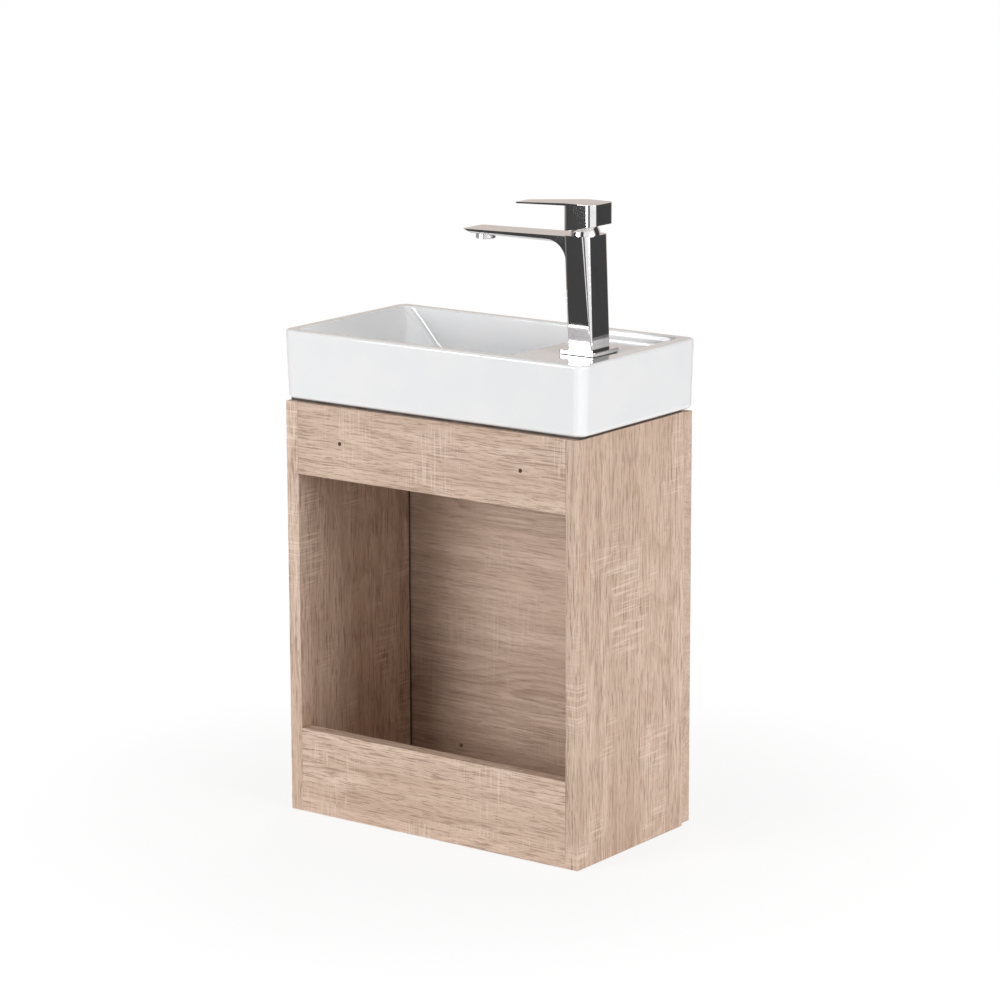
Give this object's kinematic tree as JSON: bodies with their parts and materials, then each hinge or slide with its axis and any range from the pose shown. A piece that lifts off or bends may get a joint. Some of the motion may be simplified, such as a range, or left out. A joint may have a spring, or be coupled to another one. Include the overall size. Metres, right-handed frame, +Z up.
{
  "type": "sink base cabinet",
  "caption": "Compact wall-hung sink cabinet with open back, one overlay door on concealed hinges, rectangular ceramic basin with tap ledge and square single-lever mixer.",
  "frame": {"origin": "middle of the basin's outline at the cabinet's flat underside", "axes": "+Z up, the door faces -Y, the wall side is +Y, X across the front with the door's hinges at -X"},
  "size_m": [0.4108, 0.2219, 0.713],
  "materials": {
    "oak_laminate": "light oak effect laminate, satin, fine pores",
    "beech": "plain beech dowel",
    "glazed_ceramic": "glossy white glaze",
    "chrome": "polished chrome",
    "steel": "nickel plated steel",
    "zinc": "plain die-cast zinc",
    "brass": "plain brass",
    "black_rubber": "black rubber",
    "white_plastic": "white moulded plastic",
    "grey_plastic": "grey moulded plastic",
    "soft_pad": "soft clear pad"
  },
  "bodies": {
    "cabinet": {"side_panel_left": "oak_laminate", "side_panel_right": "oak_laminate", "bottom_board": "oak_laminate", "back_top_rail": "oak_laminate", "back_bottom_rail": "oak_laminate", "front_top_rail": "oak_laminate", "dowels": "beech", "cam_bolts": "steel", "cam_locks": "zinc", "arm_pins": "steel", "hinge_arms": "steel", "hinge_plates": "steel", "plate_screws": "steel", "arm_screws": "steel", "basin_seal": "black_rubber", "basin": "glazed_ceramic", "waste_body": "chrome", "waste_top_seal": "black_rubber", "waste_bottom_seal": "black_rubber", "waste_backnut": "brass", "waste_cartridge": "white_plastic", "tap_gasket": "black_rubber", "tap_base_plate": "chrome", "tap_body": "chrome", "tap_stud": "steel", "stud_washer_rubber": "black_rubber", "stud_washer_plate": "steel", "stud_nut": "brass", "cartridge_body": "white_plastic", "cartridge_nut": "brass", "dome_cap": "chrome", "aerator_housing": "chrome", "aerator_insert": "grey_plastic"},
    "door": {"door": "oak_laminate", "hinge_cups": "steel", "cup_pins": "steel", "cup_screws": "steel", "door_bumpers": "soft_pad"},
    "outer_links": {"outer_links": "steel"},
    "inner_links": {"inner_links": "steel"},
    "tap_carrier": {"cartridge_carrier": "grey_plastic"},
    "lever": {"tap_lever": "chrome", "lever_stem": "brass", "lever_grub_screw": "steel"},
    "plug": {"waste_plug": "chrome", "plug_seal": "black_rubber"}
  },
  "joints": [
    {"name": "outer_link_swing", "type": "hinge", "parent": "cabinet", "child": "outer_links", "pos_m": [-0.15, -0.0887, 0.238], "axis": [0, 0, 1], "range_deg": [0, 33.1]},
    {"name": "door_swing", "type": "hinge", "parent": "outer_links", "child": "door", "pos_m": [-0.18377, -0.0965, 0.238], "axis": [0, 0, -1], "range_deg": [0, 117]},
    {"name": "inner_link_swing", "type": "hinge", "parent": "cabinet", "child": "inner_links", "pos_m": [-0.164, -0.1005, 0.238], "axis": [0, 0, 1], "range_deg": [0, 33.8]},
    {"name": "tap_swivel", "type": "hinge", "parent": "cabinet", "child": "tap_carrier", "pos_m": [-0.131, 0, 0.677], "axis": [0, 0, 1], "range_deg": [-45, 45]},
    {"name": "tap_lift", "type": "hinge", "parent": "tap_carrier", "child": "lever", "pos_m": [-0.131, 0, 0.677], "axis": [0, -1, 0], "range_deg": [0, 22]},
    {"name": "plug_slide", "type": "slide", "parent": "cabinet", "child": "plug", "axis": [0, 0, 1], "range_m": [0, 0.007]}
  ],
  "couplings": [
    {"joint": "outer_link_swing", "follows": "door_swing", "ratio": 0.28233},
    {"joint": "inner_link_swing", "follows": "door_swing", "ratio": 0.28807}
  ]
}
